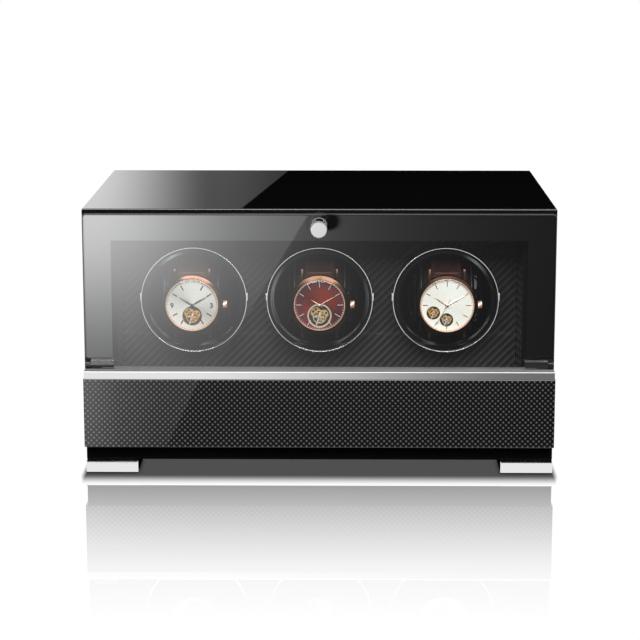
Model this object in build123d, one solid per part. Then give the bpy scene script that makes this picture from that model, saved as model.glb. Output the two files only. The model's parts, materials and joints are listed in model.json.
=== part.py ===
from build123d import *
import math
import os

os.makedirs("parts", exist_ok=True)

# A watch winder box for three watches: a lacquered cabinet on four feet, a drop-down glass door,
# three motor-driven turntables that each carry a watch on a cushion, and a storage drawer below.
# Millimetres. X is the width, Y runs from the front to the back, Z is up. Places along the depth
# are given as distances behind the front plane of the cabinet.

# Cabinet
WIDTH = 340.0
DEPTH = 220.0
HEIGHT = 194.5
PANEL = 9.0
BASE_LOW = 9.5
BASE_HIGH = 21.5
SHELF_LOW = 58.0
SHELF_HIGH = 66.0
REAR_THICK = 4.0
REAR_REBATE = 5.0
EDGE = 0.8
SCREW_R = 1.2
SCREW_HEAD_R = 2.2
SCREW_SEAT = 219.0
SCREW_TIP = 209.0
VENT_HALF = 17.0
VENT_HIGH = 3.0
VENT_STEP = 6.0
VENT_ROWS = 5

HALF = WIDTH / 2
INNER = HALF - PANEL
CEILING = HEIGHT - PANEL
REAR_FACE = DEPTH - REAR_THICK

# Face frame and fascia
FRAME_DEPTH = 12.0
WINDOW_HALF = 149.4
WINDOW_HIGH = 171.9
FASCIA_FRONT = 60.0
FASCIA_THICK = 3.0
WING_THICK = 2.4
COLLAR_FRONT = 40.0
COLLAR_R = 39.0
COLLAR_WALL = 2.0
RING_R = (38.55, 39.65)
RING_THICK = 2.0
RING_EDGE = 0.35
RING_TAB = 0.7

# Turntables
PITCH = 93.0
AXIS_Z = 121.2
NAMES = {"left": -PITCH, "center": 0.0, "right": PITCH}
CUP_R = 36.5
CUP_BORE = 34.0
CUP_FRONT = 41.0
CUP_FLOOR = 104.0
CUP_BACK = 110.0
CHEEK_GAP = 0.4
CHEEK_THICK = 1.8
CHEEK_HALF = 17.0
PULLEY_R = 24.0
PULLEY_BACK = 123.0
AXLE_R = 2.0
RUNNING = 0.05
BELT = (115.5, 120.5)
FLANGES = ((113.0, 114.5), (121.5, PULLEY_BACK))
FLANGE_RISE = 2.0
BELT_THICK = 1.0
BELT_GAP = 0.1
PLATE = (126.0, 129.0)
MOTOR_UP = 44.0
MOTOR_R = 12.0
MOTOR_BACK = 158.0
MOTOR_PULLEY_R = 5.0
MOTOR_SHAFT_R = 1.0

# Watches on their cushions
CUSHION = (29.0, 87.0)
CUSHION_HIGH = 50.0
CUSHION_HALF = 21.0
CUSHION_CORNER = 20.0
STRAP_HALF = 11.0
STRAP_THICK = 2.5
STRAP_GAP = 0.15
CASE = (17.0, 26.0)
CASE_R = 22.0
DIAL_R = 20.0
DIAL_DEEP = 2.5
CROWN_R = 2.7
CROWN_END = 25.5

# Glass door on its bottom hinge
GLASS = (-5.3, -1.3)
GLASS_HALF = 169.5
GLASS_LOW = 79.0
GLASS_HIGH = 191.6
GLASS_CORNER = 3.0
HINGE_S = (GLASS[0] + GLASS[1]) / 2
HINGE_Z = 81.5
SHOE_HALF = 2.8
SHOE_HIGH = HINGE_Z + SHOE_HALF
SHOE = (148.5, 165.0)
SHOE_SOLID = 157.0
EAR = (165.3, 169.3)
EAR_CLEAR = 86.9
PIN_R = 1.0
KNOB_Z = 183.5
KNOB_FRONT = -27.0
KNOB_R = 6.1
KNOB_COLLAR_R = 5.9
KNOB_NECK_R = 3.6
STUD_R = 2.0

# Drawer
DRAWER = (-13.0, -0.6)
FRONT_LOW = 21.9
FRONT_HIGH = 72.6
PULL_HIGH = 78.2
PULL_HALF = 169.5
TRAY_HALF = 150.0
TRAY_BACK = 186.0
TRAY_LOW = 25.0
TRAY_HIGH = 56.0
TRAY_WALL = 6.0
LINING = 1.5
RUNNER_Z = 42.0
RUNNER_GAP = 0.2
RUNNER_HALF = 2.0

# Feet
FOOT_WIDE = 38.0
FOOT_LONG = 39.5
FOOT_AHEAD = 4.5
FOOT_EDGE = 0.6
PAD = 1.0
PAD_INSET = 2.5

# Controls on the back
CONTROL_Z = 121.0
SELECTORS = {"left": -40.0, "center": 0.0, "right": 40.0}
SELECTOR_R = 9.0
SELECTOR_BACK = 226.0
SPINDLE_R = 3.0
BOARD = (204.0, 205.6)
BOARD_HALF = 62.0
JACK_X = 100.0
JACK_R = 5.8
JACK_FLANGE_R = 8.0
JACK_BORE_R = 2.8
SWITCH_X = -100.0
SWITCH_BODY = (9.4, 8.4)
SWITCH_RIM = (12.0, 11.0)
SWITCH_ROOM = (6.8, 7.2)
SWITCH_PIVOT = 215.0
SWITCH_TILT = 8.0

# The origin lies under the middle of the box that holds everything.
FRONT_Y = -(KNOB_FRONT + SELECTOR_BACK) / 2


def middle(span):
    return (span[0] + span[1]) / 2


def place(x, s, z):
    return Pos(x, FRONT_Y + s, z)


def block(x, s, z):
    size = [span[1] - span[0] for span in (x, s, z)]
    return place(middle(x), middle(s), middle(z)) * Box(*size)


def rod(x, z, s, radius):
    return place(x, middle(s), z) * Rot(X=90) * Cylinder(radius, s[1] - s[0])


def bar(x, s, z, radius):
    return place(middle(x), s, z) * Rot(Y=90) * Cylinder(radius, x[1] - x[0])


def slab(x, s, z, corner):
    outline = RectangleRounded(x[1] - x[0], z[1] - z[0], corner)
    face = place(middle(x), middle(s), middle(z)) * Rot(X=90) * outline
    return extrude(face, (s[1] - s[0]) / 2, both=True)


def pair(solid):
    return Part() + [solid, mirror(solid, about=Plane.YZ)]


def edges_facing(solid, axis, last=True):
    return solid.edges().group_by(axis)[-1 if last else 0]


def save(name, shape):
    export_step(shape, f"parts/{name}.step")


# Screws that hold the rear panel: three on each side, two along the top and two along the bottom.
def screw_places():
    side = INNER + REAR_REBATE / 2
    for x in (-side, side):
        for z in (40.0, 103.0, 166.0):
            yield x, z
    for x in (-80.0, 80.0):
        yield x, CEILING + REAR_REBATE / 2
        yield x, BASE_HIGH - REAR_REBATE / 2


def rear_screws():
    screws = []
    for x, z in screw_places():
        head = rod(x, z, (SCREW_SEAT, SCREW_SEAT + 1.8), SCREW_HEAD_R)
        slot = block((x - 1.6, x + 1.6), (SCREW_SEAT + 1.3, SCREW_SEAT + 2.0), (z - 0.4, z + 0.4))
        screws.append(head + rod(x, z, (SCREW_TIP, SCREW_SEAT), SCREW_R) - slot)
    return Part() + screws


SCREWS = rear_screws()
SCREW_HOLES = Part() + [rod(x, z, (SCREW_TIP, SCREW_SEAT), SCREW_R)
                        + rod(x, z, (SCREW_SEAT, SCREW_SEAT + 3.0), SCREW_HEAD_R)
                        for x, z in screw_places()]
REBATE = block((-INNER - REAR_REBATE, INNER + REAR_REBATE), (REAR_FACE, DEPTH + 1),
               (BASE_HIGH - REAR_REBATE, CEILING + REAR_REBATE))


def cabinet():
    top = block((-HALF, HALF), (0, DEPTH), (CEILING, HEIGHT))
    top = fillet(edges_facing(top, Axis.Z), EDGE)
    save("top_panel", top - REBATE - SCREW_HOLES)

    side = block((INNER, HALF), (0, DEPTH), (BASE_HIGH, CEILING))
    for name, panel in (("right", side), ("left", mirror(side, about=Plane.YZ))):
        save(f"side_panel_{name}", panel - REBATE - SCREW_HOLES)

    base = block((-HALF, HALF), (0, DEPTH), (BASE_LOW, BASE_HIGH))
    base = fillet(edges_facing(base, Axis.Z, last=False), EDGE)
    save("bottom_panel", base - REBATE - SCREW_HOLES)
    save("shelf_panel", block((-INNER, INNER), (0, REAR_FACE), (SHELF_LOW, SHELF_HIGH)))

    rear = REBATE & block((-HALF, HALF), (REAR_FACE, DEPTH), (0, HEIGHT))
    for x in SELECTORS.values():
        rear -= rod(x, CONTROL_Z, (REAR_FACE - 1, DEPTH + 1), SPINDLE_R + 0.4)
    rear -= rod(JACK_X, CONTROL_Z, (REAR_FACE - 1, DEPTH + 1), JACK_R + 0.2)
    rear -= block((SWITCH_X - SWITCH_BODY[0] - 0.2, SWITCH_X + SWITCH_BODY[0] + 0.2),
                  (REAR_FACE - 1, DEPTH + 1),
                  (CONTROL_Z - SWITCH_BODY[1] - 0.2, CONTROL_Z + SWITCH_BODY[1] + 0.2))
    for x in (-PITCH, PITCH):
        for row in range(VENT_ROWS):
            z = 152.0 + VENT_STEP * row
            rear -= slab((x - VENT_HALF, x + VENT_HALF), (REAR_FACE - 1, DEPTH + 1),
                         (z - VENT_HIGH / 2, z + VENT_HIGH / 2), 1.4)
    save("rear_panel", rear - SCREW_HOLES)
    save("rear_panel_screws", SCREWS)

    frame = block((-INNER, INNER), (0, FRAME_DEPTH), (SHELF_HIGH, CEILING))
    frame -= block((-WINDOW_HALF, WINDOW_HALF), (-1, FRAME_DEPTH + 1), (SHELF_HIGH - 1, WINDOW_HIGH))
    magnet = rod(0, 178.5, (0, 4.0), 3.0)
    save("face_frame", frame - magnet)
    save("door_magnet", magnet)
    save("light_bar", block((-120.0, 120.0), (FRAME_DEPTH + 1, 21.0), (181.5, CEILING)))


def feet():
    pads = []
    for side, x in (("left", -HALF + FOOT_WIDE / 2), ("right", HALF - FOOT_WIDE / 2)):
        # The front feet stand a little ahead of the plinth.
        for end, s in (("front", FOOT_LONG / 2 - FOOT_AHEAD), ("back", DEPTH - FOOT_LONG / 2)):
            wide = (x - FOOT_WIDE / 2, x + FOOT_WIDE / 2)
            long = (s - FOOT_LONG / 2, s + FOOT_LONG / 2)
            foot = block(wide, long, (PAD, BASE_LOW))
            rounded = foot.edges().filter_by(Axis.Z) + edges_facing(foot, Axis.Z, last=False)
            save(f"foot_{end}_{side}", fillet(rounded, FOOT_EDGE))
            pads.append(block((wide[0] + PAD_INSET, wide[1] - PAD_INSET),
                              (long[0] + PAD_INSET, long[1] - PAD_INSET), (0, PAD)))
    save("foot_pads", Part() + pads)


def fascia():
    plate = block((-INNER, INNER), (FASCIA_FRONT, FASCIA_FRONT + FASCIA_THICK), (SHELF_HIGH, CEILING))
    wing = block((WINDOW_HALF - WING_THICK, WINDOW_HALF), (FRAME_DEPTH, FASCIA_FRONT),
                 (SHELF_HIGH, CEILING))
    plate += pair(wing)
    for name, x in NAMES.items():
        plate += rod(x, AXIS_Z, (COLLAR_FRONT, FASCIA_FRONT), COLLAR_R)
        plate -= rod(x, AXIS_Z, (COLLAR_FRONT - 1, FASCIA_FRONT + FASCIA_THICK + 1),
                     COLLAR_R - COLLAR_WALL)
        ring = rod(x, AXIS_Z, (COLLAR_FRONT - RING_THICK, COLLAR_FRONT), RING_R[1])
        ring -= rod(x, AXIS_Z, (COLLAR_FRONT - RING_THICK - 1, COLLAR_FRONT + 1), RING_R[0])
        ring = fillet(edges_facing(ring, Axis.Y, last=False), RING_EDGE)
        for side in (-1, 1):
            tab = x + side * RING_R[1]
            ring += block((tab - RING_TAB, tab + RING_TAB), (COLLAR_FRONT - 1.6, COLLAR_FRONT),
                          (AXIS_Z - 1, AXIS_Z + 1))
        save(f"bezel_ring_{name}", ring)
    save("winder_fascia", plate)


# A shape as seen along the depth, drawn round a turntable's axis.
def facing(x, sketch, s):
    return extrude(place(x, middle(s), AXIS_Z) * Rot(X=90) * sketch, (s[1] - s[0]) / 2, both=True)


# The outline that a tight loop makes round the two pulleys.
def loop_round(lower, upper):
    lean = math.asin((lower - upper) / MOTOR_UP)
    touch = (math.cos(lean), math.sin(lean))
    right = [(lower * touch[0], lower * touch[1]), (upper * touch[0], MOTOR_UP + upper * touch[1])]
    left = [(-u, v) for u, v in reversed(right)]
    straight = make_face(Polyline(*right, *left, close=True))
    return straight + Circle(lower) + Pos(0, MOTOR_UP) * Circle(upper)


def drives():
    plate = block((-INNER, INNER), PLATE, (SHELF_HIGH, CEILING))
    axles = []
    belts = []
    motor_z = AXIS_Z + MOTOR_UP
    for name, x in NAMES.items():
        plate -= rod(x, motor_z, (PLATE[0] - 1, PLATE[1] + 1), 4.0)
        axle = rod(x, AXIS_Z, (CUP_FLOOR - 3.0, PLATE[0]), AXLE_R)
        axle += rod(x, AXIS_Z, (CUP_FLOOR - 2.0, CUP_FLOOR - 1.0), 3.6)
        axles.append(axle + rod(x, AXIS_Z, (PLATE[0] - 2.0, PLATE[0]), 5.0))

        outer = loop_round(PULLEY_R + BELT_GAP + BELT_THICK, MOTOR_PULLEY_R + BELT_GAP + BELT_THICK)
        inner = loop_round(PULLEY_R + BELT_GAP, MOTOR_PULLEY_R + BELT_GAP)
        belts.append(facing(x, outer - inner, BELT))

        motor = rod(x, motor_z, (PLATE[1], MOTOR_BACK), MOTOR_R)
        motor = fillet(edges_facing(motor, Axis.Y), 1.5)
        motor -= rod(x, motor_z, (PLATE[1] - 1, PLATE[1] + 6.0), MOTOR_SHAFT_R + RUNNING)
        save(f"motor_{name}", motor)

        pulley = rod(x, motor_z, (FLANGES[0][0], FLANGES[1][1]), MOTOR_PULLEY_R)
        for flange in FLANGES:
            pulley += rod(x, motor_z, flange, MOTOR_PULLEY_R + FLANGE_RISE)
        pulley += rod(x, motor_z, (FLANGES[1][1], PLATE[1] + 5.5), MOTOR_SHAFT_R)
        pulley -= block((x - 0.6, x + 0.6), (FLANGES[0][0] - 1, FLANGES[0][0] + 0.6),
                        (motor_z, motor_z + 4.0))
        save(f"motor_pulley_{name}", pulley)
    save("motor_plate", plate)
    save("rotor_axles", Part() + axles)
    save("drive_belts", Part() + belts)


def cup(x):
    solid = rod(x, AXIS_Z, (CUP_FRONT, CUP_BACK), CUP_R)
    solid = fillet(edges_facing(solid, Axis.Y), 3.0)
    solid -= rod(x, AXIS_Z, (CUP_FRONT - 1, CUP_FRONT + 4.0), CUP_R - 1.2)
    solid -= rod(x, AXIS_Z, (CUP_FRONT, CUP_FLOOR), CUP_BORE)
    # Two sprung cheeks grip the ends of the cushion.
    cheek = block((CUSHION_HALF + CHEEK_GAP, CUSHION_HALF + CHEEK_GAP + CHEEK_THICK),
                  (CUP_FRONT + 6.0, CUP_FLOOR), (AXIS_Z - CHEEK_HALF, AXIS_Z + CHEEK_HALF))
    for one in pair(cheek).solids():
        solid += Pos(x, 0, 0) * one
    solid += rod(x, AXIS_Z, (CUP_BACK, PULLEY_BACK), PULLEY_R)
    for flange in FLANGES:
        solid += rod(x, AXIS_Z, flange, PULLEY_R + FLANGE_RISE)
    return solid - rod(x, AXIS_Z, (CUP_FLOOR - 1, PULLEY_BACK + 1), AXLE_R + RUNNING)


# A rounded block that runs across the width, as the cushion and the strap round it do.
def roll(x, grow, half):
    deep = CUSHION[1] - CUSHION[0] + 2 * grow
    outline = RectangleRounded(deep, CUSHION_HIGH + 2 * grow, CUSHION_CORNER + grow)
    centre = (x, FRONT_Y + middle(CUSHION), AXIS_Z)
    side_plane = Plane(origin=centre, x_dir=(0, 1, 0), z_dir=(1, 0, 0))
    return extrude(side_plane * outline, half, both=True)


def watch_case(x):
    case = rod(x, AXIS_Z, CASE, CASE_R)
    case = fillet(edges_facing(case, Axis.Y, last=False) + edges_facing(case, Axis.Y), 1.2)
    case -= rod(x, AXIS_Z, (CASE[0] - 1, CASE[0] + DIAL_DEEP), DIAL_R)
    for side in (-1, 1):
        for end in (-1, 1):
            lug_x = sorted((x + side * (STRAP_HALF + 0.4), x + side * (STRAP_HALF + 3.4)))
            lug_z = sorted((AXIS_Z + end * 16.0, AXIS_Z + end * 26.0))
            lug = block(lug_x, (20.5, 26.0), lug_z)
            tip = edges_facing(lug, Axis.Z, last=end > 0).filter_by(Axis.X)
            case += fillet(tip, 2.0)
    case += bar((x + CASE_R - 2.0, x + CASE_R + 1.0), middle(CASE), AXIS_Z, CROWN_R * 0.6)
    crown = bar((x + CASE_R + 0.6, x + CROWN_END), middle(CASE), AXIS_Z, CROWN_R)
    return case + fillet(edges_facing(crown, Axis.X), 0.5)


def turntables():
    for name, x in NAMES.items():
        save(f"rotor_cup_{name}", cup(x))
        cushion = roll(x, 0, CUSHION_HALF)
        ends = edges_facing(cushion, Axis.X) + edges_facing(cushion, Axis.X, last=False)
        save(f"watch_cushion_{name}", fillet(ends, 4.0))
        strap = roll(x, STRAP_GAP + STRAP_THICK, STRAP_HALF)
        save(f"watch_strap_{name}", strap - roll(x, STRAP_GAP, STRAP_HALF + 1))
        save(f"watch_case_{name}", watch_case(x))


def door():
    pane = slab((-GLASS_HALF, GLASS_HALF), GLASS, (GLASS_LOW, GLASS_HIGH), GLASS_CORNER)
    pane = fillet(edges_facing(pane, Axis.Y) + edges_facing(pane, Axis.Y, last=False), 1.0)
    pane -= pair(block((SHOE_SOLID, HALF), (GLASS[0] - 1, GLASS[1] + 1), (GLASS_LOW - 1, SHOE_HIGH)))
    pane -= pair(block((EAR[0] - 0.3, HALF), (GLASS[0] - 1, GLASS[1] + 1), (GLASS_LOW - 1, EAR_CLEAR)))
    pane -= rod(0, KNOB_Z, (GLASS[0] - 1, GLASS[1] + 1), STUD_R + RUNNING)
    save("door_glass", pane)

    shoe = block(SHOE, (HINGE_S - SHOE_HALF, HINGE_S + SHOE_HALF), (HINGE_Z, SHOE_HIGH))
    shoe += bar(SHOE, HINGE_S, HINGE_Z, SHOE_HALF)
    slot = block((SHOE[0] - 1, SHOE_SOLID), GLASS, (GLASS_LOW, SHOE_HIGH + 1))
    shoe = shoe - slot - bar((SHOE_SOLID + 0.5, SHOE[1] + 1), HINGE_S, HINGE_Z, PIN_R + RUNNING)
    save("hinge_shoes", pair(shoe))

    ear = block(EAR, (HINGE_S - SHOE_HALF, 0), (HINGE_Z - 2.6, SHOE_HIGH))
    ear = fillet(edges_facing(ear, Axis.Y, last=False).filter_by(Axis.X), 2.0)
    pin = bar((SHOE_SOLID + 1.0, EAR[1]), HINGE_S, HINGE_Z, PIN_R)
    save("door_pivot_ears", pair(ear - pin))
    save("hinge_pins", pair(pin))

    collar = rod(0, KNOB_Z, (GLASS[0] - 3.0, GLASS[0]), KNOB_COLLAR_R)
    collar = fillet(edges_facing(collar, Axis.Y, last=False), 0.6)
    head = rod(0, KNOB_Z, (KNOB_FRONT, KNOB_FRONT + 5.0), KNOB_R)
    head = fillet(edges_facing(head, Axis.Y, last=False) + edges_facing(head, Axis.Y), 0.7)
    neck = rod(0, KNOB_Z, (KNOB_FRONT + 4.0, GLASS[0] - 2.0), KNOB_NECK_R)
    save("door_knob", head + neck + collar + rod(0, KNOB_Z, (GLASS[0] - 1.0, GLASS[1]), STUD_R))
    save("knob_backplate", slab((-8.0, 8.0), (GLASS[1], -0.3), (174.5, 188.0), 3.0))


def drawer():
    front = block((-HALF, HALF), DRAWER, (FRONT_LOW, FRONT_HIGH))
    save("drawer_front", fillet(edges_facing(front, Axis.Y, last=False), EDGE))

    pull = block((-PULL_HALF, PULL_HALF), (DRAWER[0], -1.0), (FRONT_HIGH, PULL_HIGH))
    pull = fillet(edges_facing(pull, Axis.Y, last=False).group_by(Axis.Z)[-1], 0.6)
    groove = block((-PULL_HALF - 1, PULL_HALF + 1), (DRAWER[0] + 1.6, DRAWER[0] + 2.6),
                   (PULL_HIGH - 0.6, PULL_HIGH + 1))
    save("drawer_pull", pull - groove)

    tray = block((-TRAY_HALF, TRAY_HALF), (DRAWER[1], TRAY_BACK), (TRAY_LOW, TRAY_HIGH))
    room = ((-TRAY_HALF + TRAY_WALL, TRAY_HALF - TRAY_WALL),
            (DRAWER[1] + TRAY_WALL, TRAY_BACK - TRAY_WALL))
    save("drawer_box", tray - block(*room, (TRAY_LOW + 4.0, TRAY_HIGH + 1)))
    lining = block(*room, (TRAY_LOW + 4.0, TRAY_HIGH - 2.0))
    hollow = [(span[0] + LINING, span[1] - LINING) for span in room]
    save("drawer_lining", lining - block(*hollow, (TRAY_LOW + 4.0 + LINING, TRAY_HIGH)))

    rail = block((154.5, INNER), (4.0, 190.0), (RUNNER_Z - 6.0, RUNNER_Z + 6.0))
    track = RUNNER_HALF + RUNNER_GAP
    rail -= block((154.0, 159.5), (3.0, 191.0), (RUNNER_Z - track, RUNNER_Z + track))
    save("drawer_runners_fixed", pair(rail))
    slide = block((TRAY_HALF, 159.3), (10.0, TRAY_BACK), (RUNNER_Z - RUNNER_HALF, RUNNER_Z + RUNNER_HALF))
    save("drawer_runners_moving", pair(slide))


def rocker_shape():
    centre = (SWITCH_X, FRONT_Y + SWITCH_PIVOT, CONTROL_Z)
    side_plane = Plane(origin=centre, x_dir=(0, 1, 0), z_dir=(1, 0, 0))
    cap = make_face(Polyline((0, -6.0), (6.6, -6.0), (5.6, 0), (6.6, 6.0), (0, 6.0), close=True))
    round_part = Circle(6.0) & Pos(-3.0, 0) * Rectangle(6.0, 12.0)
    solid = extrude(side_plane * (cap + round_part), 6.5, both=True)
    solid += bar((SWITCH_X - 8.5, SWITCH_X + 8.5), SWITCH_PIVOT, CONTROL_Z, 1.2)
    return solid.rotate(Axis(centre, (1, 0, 0)), -SWITCH_TILT)


def controls():
    board = block((-BOARD_HALF, BOARD_HALF), BOARD, (96.0, 146.0))
    for x in SELECTORS.values():
        board += block((x - 6.5, x + 6.5), (BOARD[1], REAR_FACE), (CONTROL_Z - 6.5, CONTROL_Z + 6.5))
        board -= rod(x, CONTROL_Z, (REAR_FACE - 8.0, REAR_FACE + 1), SPINDLE_R + RUNNING)
        board += block((x - 8.0, x + 8.0), (BOARD[0] - 5.0, BOARD[0]), (136.0, 143.0))
    board += block((-6.0, 6.0), (BOARD[0] - 1.6, BOARD[0]), (104.0, 116.0))
    for x in (-48.0, 48.0):
        board += rod(x, 106.0, (BOARD[0] - 12.0, BOARD[0]), 4.0)
    save("control_board", board)

    for name, x in SELECTORS.items():
        knob = rod(x, CONTROL_Z, (DEPTH + 1.0, SELECTOR_BACK), SELECTOR_R)
        knob = fillet(edges_facing(knob, Axis.Y), 0.8)
        knob -= block((x - 0.6, x + 0.6), (SELECTOR_BACK - 0.6, SELECTOR_BACK + 1),
                      (CONTROL_Z, CONTROL_Z + 8.0))
        spindle = rod(x, CONTROL_Z, (REAR_FACE - 7.5, DEPTH + 1.0), SPINDLE_R)
        save(f"selector_knob_{name}", knob + spindle)

    jack = rod(JACK_X, CONTROL_Z, (206.0, DEPTH), JACK_R)
    jack += rod(JACK_X, CONTROL_Z, (DEPTH, DEPTH + 1.5), JACK_FLANGE_R)
    jack -= rod(JACK_X, CONTROL_Z, (211.0, DEPTH + 2), JACK_BORE_R)
    save("dc_jack", jack + rod(JACK_X, CONTROL_Z, (210.0, DEPTH - 1.0), 1.0))

    body, rim, room = (((SWITCH_X - wide, SWITCH_X + wide), (CONTROL_Z - high, CONTROL_Z + high))
                       for wide, high in (SWITCH_BODY, SWITCH_RIM, SWITCH_ROOM))
    body = block(body[0], (205.0, DEPTH), body[1])
    body += slab(rim[0], (DEPTH, DEPTH + 1.2), rim[1], 1.0)
    body -= block(room[0], (207.5, DEPTH + 2), room[1])
    body -= bar((SWITCH_X - 8.8, SWITCH_X + 8.8), SWITCH_PIVOT, CONTROL_Z, 1.2 + RUNNING)
    save("switch_body", body)
    save("power_rocker", rocker_shape())


cabinet()
feet()
fascia()
drives()
turntables()
door()
drawer()
controls()
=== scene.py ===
import json
import math
import bmesh
import bpy
from mathutils import Matrix, Vector

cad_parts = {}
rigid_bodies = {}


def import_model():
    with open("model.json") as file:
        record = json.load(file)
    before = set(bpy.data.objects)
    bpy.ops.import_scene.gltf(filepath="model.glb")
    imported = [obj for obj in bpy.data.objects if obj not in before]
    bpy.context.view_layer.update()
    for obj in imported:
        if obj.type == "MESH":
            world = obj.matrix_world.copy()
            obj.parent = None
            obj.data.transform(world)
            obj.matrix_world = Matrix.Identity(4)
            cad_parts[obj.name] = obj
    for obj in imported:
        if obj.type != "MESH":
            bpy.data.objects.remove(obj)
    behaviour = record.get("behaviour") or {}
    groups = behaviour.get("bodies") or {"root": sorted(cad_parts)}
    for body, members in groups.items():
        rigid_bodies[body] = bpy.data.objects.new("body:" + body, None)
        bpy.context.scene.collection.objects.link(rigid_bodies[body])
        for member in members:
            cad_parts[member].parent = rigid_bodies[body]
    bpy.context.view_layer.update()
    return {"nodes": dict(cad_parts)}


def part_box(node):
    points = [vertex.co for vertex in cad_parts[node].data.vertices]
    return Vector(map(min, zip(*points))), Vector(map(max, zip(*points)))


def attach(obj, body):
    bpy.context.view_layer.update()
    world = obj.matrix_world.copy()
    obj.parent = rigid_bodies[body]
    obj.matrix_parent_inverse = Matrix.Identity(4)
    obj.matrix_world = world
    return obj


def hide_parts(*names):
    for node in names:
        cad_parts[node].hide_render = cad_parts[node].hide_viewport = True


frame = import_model()
nodes = frame["nodes"]
scene = bpy.context.scene
sides = ("left", "center", "right")
mm = 0.001  # sizes in the dictionaries are millimetres
halfTurn = math.pi
fullTurn = 2 * math.pi


# ---- nodes and materials -------------------------------------------------------------------

def link(tree, value, socket):
    if isinstance(value, bpy.types.NodeSocket):
        tree.links.new(value, socket)
    else:
        socket.default_value = value


def calc(tree, operation, *values):
    node = tree.nodes.new("ShaderNodeMath")
    node.operation = operation
    for value, socket in zip(values, node.inputs):
        link(tree, value, socket)
    return node.outputs[0]


def plus(tree, *values):
    return calc(tree, "ADD", *values)


def minus(tree, *values):
    return calc(tree, "SUBTRACT", *values)


def times(tree, *values):
    return calc(tree, "MULTIPLY", *values)


def addNode(tree, kind, **inputs):
    node = tree.nodes.new("ShaderNode" + kind)
    for name, value in inputs.items():
        link(tree, value, node.inputs[name.replace("_", " ")])
    return node


def objectPoint(tree, scale=(1, 1, 1)):
    return addNode(tree, "Mapping", Vector=addNode(tree, "TexCoord").outputs["Object"], Scale=scale).outputs[0]


def axes(tree, vector=None):  # x, y and z, of the place in the object when no vector is given
    return addNode(tree, "SeparateXYZ", Vector=vector or objectPoint(tree)).outputs


def rescale(tree, value, low, high, toLow=0.0, toHigh=1.0):
    node = addNode(tree, "MapRange", Value=value, From_Min=low, From_Max=high, To_Min=toLow, To_Max=toHigh)
    return node.outputs[0]


def mixColours(tree, factor, first, second):
    node = addNode(tree, "Mix")
    node.data_type = "RGBA"
    for value, number in ((factor, 0), (first, 6), (second, 7)):
        link(tree, value, node.inputs[number])
    return node.outputs[2]


def mixShaders(tree, factor, first, second):
    node = addNode(tree, "MixShader", Fac=factor)
    link(tree, first, node.inputs[1])
    link(tree, second, node.inputs[2])
    return node.outputs[0]


def ramp(tree, factor, stops, smooth="LINEAR"):
    node = addNode(tree, "ValToRGB", Fac=factor)
    node.color_ramp.interpolation = smooth
    elements = node.color_ramp.elements
    elements[0].position = stops[0][0]
    elements[1].position = stops[-1][0]
    for spot, _ in stops[1:-1]:
        elements.new(spot)
    for element, (_, colour) in zip(elements, stops):
        element.color = (*colour, 1) if hasattr(colour, "__len__") else (colour, colour, colour, 1)
    return node.outputs[0]


def noise(tree, scale, detail=3.0, stretch=(1, 1, 1)):
    return addNode(tree, "TexNoise", Vector=objectPoint(tree, scale=stretch), Scale=scale, Detail=detail).outputs[0]


def newMaterial(name, colour, roughness, **sockets):
    made = bpy.data.materials.new(name)
    made.use_nodes = True
    shader = made.node_tree.nodes["Principled BSDF"]
    shader.inputs["Base Color"].default_value = (*colour, 1)
    shader.inputs["Roughness"].default_value = roughness
    for socket, value in sockets.items():
        shader.inputs[socket.replace("_", " ")].default_value = value
    return made, made.node_tree, shader


def mottle(tree, shader, scale, low, high, stretch=(1, 1, 1)):  # uneven gloss
    link(tree, rescale(tree, noise(tree, scale, stretch=stretch), 0.3, 0.7, low, high), shader.inputs["Roughness"])


def bump(tree, shader, height, strength, distance):
    node = addNode(tree, "Bump", Height=height, Strength=strength, Distance=distance * mm)
    link(tree, node.outputs[0], shader.inputs["Normal"])


def tint(tree, shader, factor, stops, smooth="LINEAR"):
    link(tree, ramp(tree, factor, stops, smooth), shader.inputs["Base Color"])


def lacquer(name, specular):
    made, tree, shader = newMaterial(name, (0.004, 0.004, 0.005), 0.05, Specular_IOR_Level=specular)
    mottle(tree, shader, 38, 0.008, 0.04)
    tint(tree, shader, noise(tree, 2400, 1), [(0.3, (0.0012, 0.0012, 0.0014)), (0.78, (0.004, 0.004, 0.0045))])
    return made


def metal(name, colour, roughness=0.08, brush=0.0):
    made, tree, shader = newMaterial(name, colour, roughness, Metallic=1.0)
    mottle(tree, shader, 60, roughness * 0.6, roughness * 1.7)
    if brush:
        bump(tree, shader, noise(tree, 900, 2, stretch=(0.04, 1, 1)), brush, 0.02)
    return made


def plainPlastic(name, colour, roughness, grain=0.12, scale=1500):
    made, tree, shader = newMaterial(name, colour, roughness)
    mottle(tree, shader, 90, roughness * 0.8, min(1.0, roughness * 1.25))
    bump(tree, shader, noise(tree, scale, 2), grain, 0.05)
    return made


def weaveCells(tree, tow):
    # whole numbers count the tows each way, and a sine rounds each tow across its width
    point = axes(tree, objectPoint(tree, (1 / (tow * mm),) * 3))
    across, along = (calc(tree, "SINE", times(tree, calc(tree, "FRACT", point[k]), halfTurn)) for k in (0, 2))
    return point, across, along


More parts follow.
